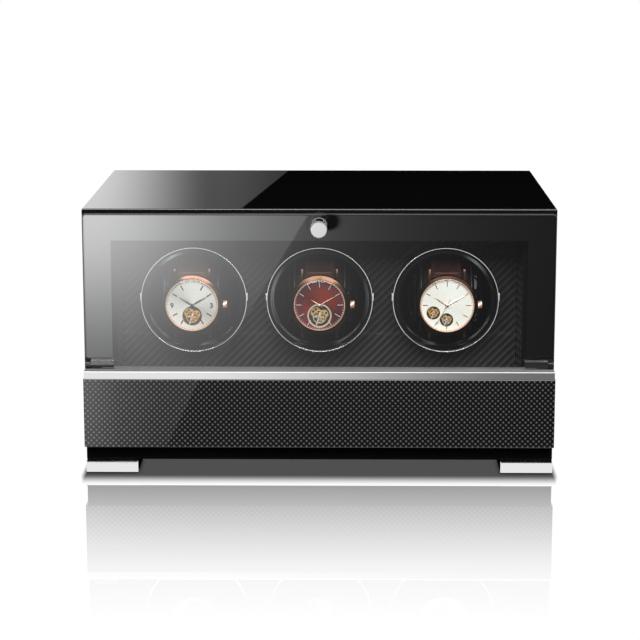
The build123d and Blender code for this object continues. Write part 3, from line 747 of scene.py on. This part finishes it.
def puffCushion(source):
    # cloth pressed out from inside, so that the sides pull in between the corners
    low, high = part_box(source)
    pad = bmesh.new()
    shrink = Vector((0.6, 0.6, 0.6))
    brick(pad, low / mm + shrink, high / mm - shrink, 15.0, 6)
    mesh = bpy.data.meshes.new("cushionPuff")
    bmesh.ops.scale(pad, vec=(mm, mm, mm), verts=pad.verts)
    pad.to_mesh(mesh)
    pad.free()
    puff = bpy.data.objects.new("cushionPuff", mesh)
    scene.collection.objects.link(puff)
    remesh = puff.modifiers.new("even", "REMESH")
    remesh.mode = "VOXEL"
    remesh.voxel_size = 0.0035
    freeze(puff)
    start = [v.co.copy() for v in puff.data.vertices]
    cloth = puff.modifiers.new("cloth", "CLOTH")
    cloth.settings.use_pressure = True
    cloth.settings.uniform_pressure_force = 4.0
    cloth.settings.effector_weights.gravity = 0
    cloth.point_cache.frame_start = 1
    cloth.point_cache.frame_end = 16
    for step in range(1, 17):
        scene.frame_set(step)
    freeze(puff)
    middle = (low + high) / 2
    half = (high - low) / 2
    for vert, before in zip(puff.data.vertices, start):
        moved = vert.co - before
        if moved.length > 1.4 * mm:
            vert.co = before + moved.normalized() * 1.4 * mm
        spot = vert.co - middle
        waist = 1 - 0.035 * math.cos(min(1.0, abs(spot.x) / half.x) * halfTurn / 2)  # the strap pulls it in
        vert.co = middle + Vector((max(-half.x, min(half.x, spot.x)), spot.y * waist, spot.z * waist))
    smooth = puff.modifiers.new("smooth", "SUBSURF")
    smooth.levels = smooth.render_levels = 1
    freeze(puff)
    scene.frame_set(1)
    done = puff.data.copy()
    bpy.data.objects.remove(puff)
    return done, middle


def freeze(piece):
    bpy.context.view_layer.update()
    settled = bpy.data.meshes.new_from_object(piece.evaluated_get(bpy.context.evaluated_depsgraph_get()))
    piece.modifiers.clear()
    piece.data = settled


def strapSection(half, inner, outer):
    crown = 0.5  # the leather is padded, so its face is crowned
    top = [(half * k / 4, outer + crown * (1 - (k / 4) ** 2) - (0.45 if abs(k) == 4 else 0.0)) for k in range(-4, 5)]
    return [(-half + 0.3, inner), (half - 0.3, inner), (half, inner + 0.3)] + top[::-1] + [(-half, inner + 0.3)]


def cushionAndStrap(side, watch, puff, puffMiddle, body):
    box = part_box(f"watch_cushion_{side}")
    middle = (box[0] + box[1]) / 2
    cushion = puff.copy()
    cushion.transform(Matrix.Translation(middle - puffMiddle))
    piece = addMesh(f"cushion_{side}", cushion, "cushion", body, 80)
    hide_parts(f"watch_cushion_{side}")

    corner = 20.0
    x = middle.x / mm
    finish = f"strap_{side}"
    look[finish] = leather(f"strapLeather_{side}", *watch["strap"], 1300)
    strap = bmesh.new()
    section = [(x + u, out) for u, out in strapSection(11.0, 0.15, 2.2)]
    sweepRound(strap, section, box, corner)
    piece = finishPiece(f"strap_{side}", strap, finish, body, sharp=50)
    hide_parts(f"watch_strap_{side}")

    stitches = bmesh.new()
    for across in (-9.4, 9.4):
        travel = 14.0
        while travel < 62.0:
            for flip in (1, -1):
                spot, turn = loopSpot(box, corner, 2.34, travel)
                verts = brick(stitches, (-0.22, -0.2, -0.8), (0.22, 0.15, 0.8), 0.12, 1)
                bmesh.ops.rotate(stitches, cent=(0, 0, 0), matrix=Matrix.Rotation(-turn, 3, "X"), verts=verts)
                bmesh.ops.translate(stitches, vec=spot + Vector((x + across, 0, 0)), verts=verts)
                if flip < 0:
                    zMiddle = middle.z / mm
                    bmesh.ops.translate(stitches, vec=(0, 0, -zMiddle), verts=verts)
                    bmesh.ops.scale(stitches, vec=(1, 1, -1), verts=verts)
                    bmesh.ops.translate(stitches, vec=(0, 0, zMiddle), verts=verts)
            travel += 2.6
    finishPiece(f"strap_stitches_{side}", stitches, "thread", body)

    bars = bmesh.new()  # a turned leather edge across the strap, above and below the case
    for end in (-1, 1):
        spot, turn = loopSpot(box, corner, 2.62, 21.0)
        verts = brick(bars, (-8.8, -0.3, -0.45), (8.8, 0.25, 0.45), 0.2, 2)
        bmesh.ops.rotate(bars, cent=(0, 0, 0), matrix=Matrix.Rotation(-turn, 3, "X"), verts=verts)
        bmesh.ops.translate(bars, vec=spot + Vector((x, 0, -middle.z / mm)), verts=verts)
        bmesh.ops.scale(bars, vec=(1, 1, end), verts=verts)
        bmesh.ops.translate(bars, vec=(0, 0, middle.z / mm), verts=verts)
    finishPiece(f"strap_bars_{side}", bars, "thread", body)

    piping = bmesh.new()  # a sewn cord round each end of the cushion
    for across in (-18.4, 18.4):
        sweepRound(piping, ringOutline(0.7, 8, x + across, -0.9), box, corner)
    finishPiece(f"cushion_piping_{side}", piping, "cushion", body, sharp=80)


puff, puffMiddle = puffCushion("watch_cushion_center")
print("cushion settled", len(puff.vertices))
for side in sides:
    body = f"rotor_{side}"
    low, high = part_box(f"watch_case_{side}")
    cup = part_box(f"rotor_cup_{side}")
    dialPlace = Vector(((cup[0].x + cup[1].x) / 2, low.y + 2.5 * mm, (cup[0].z + cup[1].z) / 2))
    watchCase(side, watches[side], dialPlace, body)
    watchDial(side, watches[side], dialPlace, body)
    watchHands(side, watches[side], dialPlace, body)
    cushionAndStrap(side, watches[side], puff, puffMiddle, body)
    print("watch", side)


# ---- turntable cups ---------------------------------------------------------------------------

cupSizes = {"wall": 33.9, "ledges": ((86, 31.5), (92, 28.0), (98, 23.0)), "cradle": 26.2, "thick": 1.5, "sweep": 74.0}


def cupDetail(side):
    body = f"rotor_{side}"
    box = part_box(f"rotor_cup_{side}")
    place = Vector(((box[0].x + box[1].x) / 2, box[0].y - 41.0 * mm, (box[0].z + box[1].z) / 2))
    ledges = bmesh.new()  # moulded steps down to the floor of the cup
    profile = [(cupSizes["wall"], 84.0)]
    for depth, radius in cupSizes["ledges"]:
        profile += [(profile[-1][0] - 0.6, depth - 0.3), (radius + 0.6, depth), (radius, depth + 0.5)]
    profile += [(cupSizes["ledges"][-1][1], 103.5), (cupSizes["wall"], 103.5), (cupSizes["wall"], 84.0)]
    revolve(ledges, profile)
    finishPiece(f"cup_ledges_{side}", ledges, "cup", body, place)

    cradle = bmesh.new()  # two curved arms with flared ends hold the cushion
    inner, thick = cupSizes["cradle"], cupSizes["thick"]
    sweep = math.radians(cupSizes["sweep"])
    for flip in (0, halfTurn):
        part = bmesh.new()
        section = ((inner, 47), (inner + thick, 46.4), (inner + thick, 103), (inner, 103))
        points = [part.verts.new((radius, y, 0)) for radius, y in section]
        edges = [part.edges.new(two) for two in zip(points, points[1:] + points[:1])]
        bmesh.ops.rotate(part, cent=(0, 0, 0), matrix=Matrix.Rotation(-sweep / 2, 3, "Y"), verts=part.verts)
        swung = bmesh.ops.spin(part, geom=points + edges, cent=(0, 0, 0), axis=(0, 1, 0), angle=sweep, steps=24)
        last = [g for g in swung["geom_last"] if isinstance(g, bmesh.types.BMEdge)]
        for ends in (last, edges):
            for _ in range(2):
                outward = bmesh.ops.extrude_edge_only(part, edges=ends)
                fresh = [g for g in outward["geom"] if isinstance(g, bmesh.types.BMVert)]
                middle = sum((v.co for v in fresh), Vector()) / len(fresh)
                side3 = Vector((middle.x, 0, 0)).normalized() * 1.9 + Vector((0, 0, math.copysign(0.8, middle.z)))
                bmesh.ops.translate(part, vec=side3, verts=fresh)
                grown = [g for g in outward["geom"] if isinstance(g, bmesh.types.BMEdge)]
                ends = [g for g in grown if all(v in set(fresh) for v in g.verts)]
            bmesh.ops.contextual_create(part, geom=ends)
        bmesh.ops.rotate(part, cent=(0, 0, 0), matrix=Matrix.Rotation(flip, 3, "Y"), verts=part.verts)
        held = bpy.data.meshes.new("held")
        part.to_mesh(held)
        part.free()
        cradle.from_mesh(held)
        bpy.data.meshes.remove(held)
    finishPiece(f"cup_cradle_{side}", cradle, "cup", body, place)


def ringTrim(side):
    values = {"inner": 38.5, "outer": 39.25, "edge": 0.2, "thick": 2.0, "tab": 0.6, "tabLow": -0.5, "tabHigh": 5.0}
    low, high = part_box(f"bezel_ring_{side}")
    place = Vector(((low.x + high.x) / 2, low.y, (low.z + high.z) / 2))
    inner, outer, edge, thick = (values[key] for key in ("inner", "outer", "edge", "thick"))
    soft = edge * 0.3
    trim = bmesh.new()
    revolve(trim, [(outer, thick), (outer, edge), (outer - soft, soft), (outer - edge, 0), (inner + edge, 0),
                   (inner + soft, soft), (inner, edge), (inner, thick), (outer, thick)], steps=160)
    for flip in (-1, 1):
        tab = flip * outer
        brick(trim, (tab - values["tab"], 0.4, values["tabLow"]), (tab + values["tab"], thick, values["tabHigh"]), 0.2)
    piece = finishPiece(f"ring_trim_{side}", trim, "chrome", "cabinet", place, 80)
    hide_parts(f"bezel_ring_{side}")
    return piece


for side in sides:
    cupDetail(side)
rings = [ringTrim(side) for side in sides]
print("cups and rings")


# ---- marks and lamps on the fixed body --------------------------------------------------------

def controlMarks():
    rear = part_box("rear_panel")[1].y
    ticks = bmesh.new()
    for side in sides:
        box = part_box(f"selector_knob_{side}")
        x, z = (box[0].x + box[1].x) / 2 / mm, (box[0].z + box[1].z) / 2 / mm
        for k in range(7):
            verts = brick(ticks, (-0.3, 0, 11.0), (0.3, 0.06, 13.0 if k % 3 else 14.0))
            turned(ticks, verts, 1.5 * k - 4.5)
            bmesh.ops.translate(ticks, vec=(x, 0, z), verts=verts)
    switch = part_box("switch_body")
    x, high = (switch[0].x + switch[1].x) / 2 / mm, switch[1].z / mm
    brick(ticks, (x - 0.3, 0, high + 2.5), (x + 0.3, 0.06, high + 6.0))
    revolve(ticks, [(2.0, 0), (2.0, 0.06), (1.5, 0.06), (1.5, 0)], x, switch[0].z / mm - 4.5, 24)
    finishPiece("control_marks", ticks, "ink", "cabinet", (0, rear, 0))


def lampLenses():
    low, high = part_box("light_bar")
    lenses = bmesh.new()
    for k in range(9):
        x = (low.x + (high.x - low.x) * (k + 0.5) / 9) / mm
        made = bmesh.ops.create_uvsphere(lenses, u_segments=20, v_segments=10, radius=2.0)
        bmesh.ops.scale(lenses, vec=(1.6, 1, 0.5), verts=made["verts"])
        bmesh.ops.translate(lenses, vec=(x, (low.y + high.y) / 2 / mm, low.z / mm), verts=made["verts"])
    finishPiece("lamp_lenses", lenses, "ink", "cabinet")


def doorBorder():
    values = {"side": 168.0, "inner": 149.4, "top": 190.0, "window": 171.9, "low": 86.5, "film": 0.15}
    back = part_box("door_glass")[1].y
    film = bmesh.new()
    outer = [(-values["side"], values["low"]), (-values["side"], values["top"]), (values["side"], values["top"]),
             (values["side"], values["low"]), (values["inner"], values["low"]), (values["inner"], values["window"]),
             (-values["inner"], values["window"]), (-values["inner"], values["low"])]
    knobZ = (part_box("door_knob")[0].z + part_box("door_knob")[1].z) / 2 / mm
    plate(film, [outer, ringOutline(9.0, 32, 0.0, knobZ)], 0.02, values["film"])
    return finishPiece("door_border", film, "borderInk", "door", (0, back, 0))


controlMarks()
lampLenses()
border = doorBorder()
print("marks and lamps")


# ---- studio -----------------------------------------------------------------------------------

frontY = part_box("top_panel")[0].y  # the front plane of the cabinet
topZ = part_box("top_panel")[1].z

view = {"x": 14.9, "ahead": 1480.0, "z": 409.4, "down": 11.3, "left": 0.555, "lens": 117.65}
cameraData = bpy.data.cameras.new("camera")
cameraData.lens = view["lens"]
cameraData.sensor_width = 36
camera = bpy.data.objects.new("camera", cameraData)
camera.location = (view["x"] * mm, frontY - view["ahead"] * mm, view["z"] * mm)
camera.rotation_euler = (math.radians(90 - view["down"]), 0, math.radians(view["left"]))
scene.collection.objects.link(camera)
scene.camera = camera
scene.view_settings.view_transform = "Standard"
scene.view_settings.look = "None"


def plainNodes(name):
    made = bpy.data.materials.new(name)
    made.use_nodes = True
    made.node_tree.nodes.clear()
    output = made.node_tree.nodes.new("ShaderNodeOutputMaterial")
    return made, made.node_tree, output.inputs["Surface"]


def floorMaterial():
    values = {"mirror": [(0.0, 0.65), (0.65, 0.1), (1.0, 0.0)], "clear": 0.036, "fade": 0.32,
              "shade": [(0.2, 0.08), (1.0, 1.0)], "sides": 250.0, "contact": 0.006, "near": 0.9, "far": 0.03}
    made, tree, surface = plainNodes("floor")
    low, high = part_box("bottom_panel")
    spot, middle, half = axes(tree), (low + high) / 2, (high - low) / 2
    outX, outY = (minus(tree, calc(tree, "ABSOLUTE", minus(tree, spot[k], middle[k])), half[k]) for k in (0, 1))
    away = calc(tree, "MAXIMUM", outX, outY)
    # the mirror image starts past the shadow and fades out over a third of a metre
    strength = ramp(tree, rescale(tree, away, values["clear"], values["fade"]), values["mirror"])
    started = calc(tree, "GREATER_THAN", away, values["clear"])
    gloss = addNode(tree, "BsdfGlossy", Color=(1, 1, 1, 1), Roughness=0.012)
    # a soft shadow in front of the box and a tight one under its feet
    shadow = ramp(tree, rescale(tree, outY, 0.0, values["clear"]), values["shade"], "EASE")
    soft = plus(tree, shadow, times(tree, calc(tree, "MAXIMUM", outX, 0.0), values["sides"]))
    hidden = addNode(tree, "AmbientOcclusion", Distance=values["contact"])
    hidden.samples = 8
    tight = ramp(tree, hidden.outputs["AO"], [(0.35, 0.3), (0.75, 1.0)])
    white = addNode(tree, "Emission", Strength=times(tree, calc(tree, "MINIMUM", soft, 1.02), tight))
    seen = mixShaders(tree, times(tree, strength, started), white.outputs[0], gloss.outputs[0])
    # the feet mirror the white close by, and the door mirrors the dim room further out
    outside = calc(tree, "GREATER_THAN", away, 0.0)
    close = times(tree, calc(tree, "LESS_THAN", away, values["clear"]), outside)
    level = plus(tree, times(tree, outside, values["far"]), times(tree, close, values["near"]))
    bounced = addNode(tree, "Emission", Strength=level)
    path = addNode(tree, "LightPath")
    link(tree, mixShaders(tree, path.outputs["Is Camera Ray"], bounced.outputs[0], seen), surface)
    return made


def stagePlane(name, low, high, finish, depth):
    # an upright card, or the floor when depth is None
    bm = bmesh.new()
    made = bmesh.ops.create_grid(bm, x_segments=1, y_segments=1, size=0.5)
    bmesh.ops.scale(bm, vec=(high[0] - low[0], high[1] - low[1], 1), verts=made["verts"])
    bmesh.ops.translate(bm, vec=((low[0] + high[0]) / 2, (low[1] + high[1]) / 2, 0), verts=made["verts"])
    if depth is not None:
        bmesh.ops.rotate(bm, cent=(0, 0, 0), matrix=Matrix.Rotation(halfTurn / 2, 3, "X"), verts=made["verts"])
        bmesh.ops.translate(bm, vec=(0, depth, 0), verts=made["verts"])
    mesh = bpy.data.meshes.new(name)
    bm.to_mesh(mesh)
    bm.free()
    finish.cycles.emission_sampling = "NONE"
    mesh.materials.append(finish)
    card = bpy.data.objects.new(name, mesh)
    scene.collection.objects.link(card)
    return card


def topCardMaterial():
    # bright at the far left, fading to the right, and cut off along a slanted edge
    values = {"from": -0.2, "to": -0.02, "fade": [(0.0, 0.7), (0.62, 0.08), (1.0, 0.035)],
              "lean": 1.24, "end": -0.0264, "level": 2.0}
    made, tree, surface = plainNodes("topCard")
    spot = axes(tree)
    fade = ramp(tree, rescale(tree, spot[0], values["from"], values["to"]), values["fade"], "EASE")
    edge = plus(tree, spot[0], times(tree, minus(tree, spot[2], topZ), values["lean"]))
    lit = calc(tree, "LESS_THAN", edge, values["end"])
    glow = addNode(tree, "Emission", Color=fade, Strength=times(tree, lit, values["level"]))
    link(tree, glow.outputs[0], surface)
    return made


stagePlane("floor", (-3, -3), (3, 3), floorMaterial(), None)
card = stagePlane("top_card", (-0.22, topZ + 0.0005), (0.22, topZ + 0.06), topCardMaterial(), frontY + 0.224)
card.visible_camera = card.visible_diffuse = card.visible_shadow = card.visible_transmission = False


def linkOnly(lamp, receivers):
    linked = bpy.data.collections.new(f"{lamp.name}Receivers")
    for receiver in receivers:
        linked.objects.link(receiver)
    lamp.light_linking.receiver_collection = linked


def areaLight(name, place, size, power):
    data = bpy.data.lights.new(name, "AREA")
    data.shape = "RECTANGLE"
    data.size, data.size_y = size
    data.energy = power
    lamp = bpy.data.objects.new(name, data)
    lamp.location = place
    lamp.rotation_euler = (math.radians(90), 0, 0)
    lamp.visible_camera = False
    scene.collection.objects.link(lamp)
    return lamp


def spread(tree, value, stops, smooth):  # a ramp over millimetres
    low, high = stops[0][0], stops[-1][0]
    scaled = rescale(tree, value, low * mm, high * mm)
    return ramp(tree, scaled, [((at - low) / (high - low), level) for at, level in stops], smooth)


def leftOf(tree, place, top, bottom):  # one on the left of a slanted line and none on its right
    slope = (top[0] - bottom[0]) / (top[1] - bottom[1])
    edge = plus(tree, times(tree, place[2], slope), (top[0] - slope * top[1]) * mm)
    return calc(tree, "LESS_THAN", place[0], edge)


def panelLight(name, values, receivers):
    # an upright light in front of the box that only its receivers mirror: it dims across and down, with a step
    # along a slanted line where one is given. Both corners are (x, z).
    low, high = values["low"], values["high"]
    width, height = ((b - a) * mm for a, b in zip(low, high))
    place = ((low[0] + high[0]) / 2 * mm, frontY - values["ahead"] * mm, (low[1] + high[1]) / 2 * mm)
    lamp = areaLight(name, place, (width, height), width * height * math.pi)  # a radiance of 1, which the nodes scale
    linkOnly(lamp, receivers)
    lamp.data.use_nodes = True
    tree = lamp.data.node_tree
    spot = axes(tree, addNode(tree, "NewGeometry").outputs["Position"])
    level = times(tree, spread(tree, spot[0], values["across"], values.get("smooth", "LINEAR")),
                  spread(tree, spot[2], values["down"], "LINEAR"))
    if "line" in values:
        lit = leftOf(tree, spot, *values["line"])
        level = times(tree, level, plus(tree, times(tree, lit, 1 - values["step"]), values["step"]))
    link(tree, level, tree.nodes["Emission"].inputs["Strength"])


def smallLight(name, place, size, radiance, receivers, mirrored=False):
    # unless it is mirrored, only rough gloss shows it
    lamp = areaLight(name, place, size, size[0] * size[1] * math.pi * radiance)
    lamp.data.cycles.use_multiple_importance_sampling = mirrored
    linkOnly(lamp, receivers)
    return lamp


drawerPanel = {
    "low": (-200, 0.5), "high": (200, 70), "ahead": 60, "line": ((-89.6, 61.0), (-114.4, 10.5)), "step": 0.2,
    "across": [(-178, 2.5), (-150, 1.1), (-120, 0.6), (180, 0.2)], "down": [(5, 0.6), (65, 1.0)]}
chromePanel = {
    "low": (-260, 2), "high": (260, 190), "ahead": 200, "across": [(-130, 0.86), (180, 0.15)], "smooth": "EASE",
    "down": [(0, 1.0), (42, 1.0), (50, 0.55), (130, 0.55), (142, 1.2), (180, 1.4)]}
cupPanel = {  # narrow upright strips, two for each cup
    "low": (-330, 30), "high": (330, 330), "ahead": 320,
    "across": [(-330, 0.0), (-290, 9.0), (-262, 0.3), (-150, 0.15), (-139, 7.0), (-128, 0.15), (-58, 0.15),
               (-47, 6.0), (-36, 0.15), (36, 0.15), (47, 6.0), (58, 0.15), (128, 0.15), (139, 5.0), (150, 0.15),
               (262, 0.2), (290, 6.0), (330, 0.0)],
    "down": [(30, 0.3), (120, 1.2), (330, 0.8)]}
ringPanel = {"low": (-190, 30), "high": (190, 200), "ahead": 45, "across": [(-190, 0.85), (190, 0.85)],
             "down": [(30, 1.0), (200, 1.0)]}
panes = ("door_glass", "knob_backplate", "hinge_shoes", "door_pivot_ears", "hinge_pins")
paned = [border] + [nodes[name] for name in panes]
unlit = paned[:3] + [nodes["door_knob"]]  # the broad lamps leave these alone
panelLight("drawerSheen", drawerPanel, [nodes["drawer_front"]])
panelLight("chromeSheen", chromePanel, [nodes["drawer_pull"], nodes["door_knob"]])
panelLight("ringSheen", ringPanel, rings)
panelLight("cupSheen", cupPanel, [item for item in scene.objects if "cup_" in item.name])
hazeAhead = 0.605
smallLight("doorHaze", (-0.238, frontY - hazeAhead, 0.108), (0.12, 0.06), 115.0, paned)
smallLight("edgeStrip", (-0.2, frontY - 0.9, 1.0), (1.8, 0.4), 16.0, [nodes["top_panel"]], mirrored=True)

# a second haze that a slanted board cuts off, which only this light's shadows know
slantTop, slantLow = (-8.1, 191.3), (-73.6, 81.4)
slantLight = Vector((-0.035, frontY - hazeAhead, 0.101))
slantHaze = smallLight("slantHaze", slantLight, (0.012, 0.012), 470.0, paned)
boardAhead = 0.045
share = boardAhead / hazeAhead


def onBoard(x, z):  # where the ray from the lamp to a place on the door crosses the board
    return x * mm + (slantLight.x - x * mm) * share, z * mm + (slantLight.z - z * mm) * share


slant = [onBoard(*spot) for spot in (slantLow, slantTop, (0, 260), (330, 260), (330, 10), (-110, 20))]
outline = bmesh.new()
bmesh.ops.contextual_create(outline, geom=[outline.verts.new((x, frontY - boardAhead, z)) for x, z in slant])
boardMesh = bpy.data.meshes.new("slantBoard")
outline.to_mesh(boardMesh)
outline.free()
board = bpy.data.objects.new("slantBoard", boardMesh)
scene.collection.objects.link(board)
board.visible_camera = board.visible_diffuse = board.visible_glossy = board.visible_transmission = False


def softLight(name, place, aim, size, power):
    lamp = areaLight(name, place, size, power)
    lamp.data.color = (1.0, 1.0, 0.98)
    lamp.rotation_euler = (Vector(aim) - Vector(place)).to_track_quat("-Z", "Y").to_euler()
    linkOnly(lamp, [item for item in scene.objects if item.type == "MESH" and item not in unlit])


softLight("keyLight", (0.05, -1.5, 1.2), (0, 0, 0.12), (1.7, 1.0), 64)
softLight("fillLight", (1.2, -0.9, 0.9), (0, 0, 0.1), (0.6, 0.9), 2.0)

passing = bpy.data.collections.new("boardIgnored")
passing.objects.link(board)
passing.collection_objects[0].light_linking.link_state = "EXCLUDE"
for lamp in [item for item in scene.objects if item.type == "LIGHT" and item is not slantHaze]:
    lamp.light_linking.blocker_collection = passing

world = bpy.data.worlds.new("studio")
scene.world = world
world.use_nodes = True
world.cycles.sampling_method = "NONE"
worldTree = world.node_tree
background = worldTree.nodes["Background"]
background.inputs["Color"].default_value = (1, 1, 1, 1)
roomLevel = {"seen": 1.0, "lit": 0.11}
ray = addNode(worldTree, "LightPath").outputs
way = axes(worldTree, addNode(worldTree, "TexCoord").outputs["Generated"])
behind = calc(worldTree, "GREATER_THAN", way[1], 0.0)  # white behind the box and dim in front of it
firstMirror = times(worldTree, ray["Is Glossy Ray"], calc(worldTree, "LESS_THAN", ray["Ray Depth"], 2.5))
direct = calc(worldTree, "MAXIMUM", ray["Is Camera Ray"], times(worldTree, firstMirror, behind))
brightness = plus(worldTree, times(worldTree, direct, roomLevel["seen"] - roomLevel["lit"]), roomLevel["lit"])
link(worldTree, brightness, background.inputs["Strength"])
print("studio")
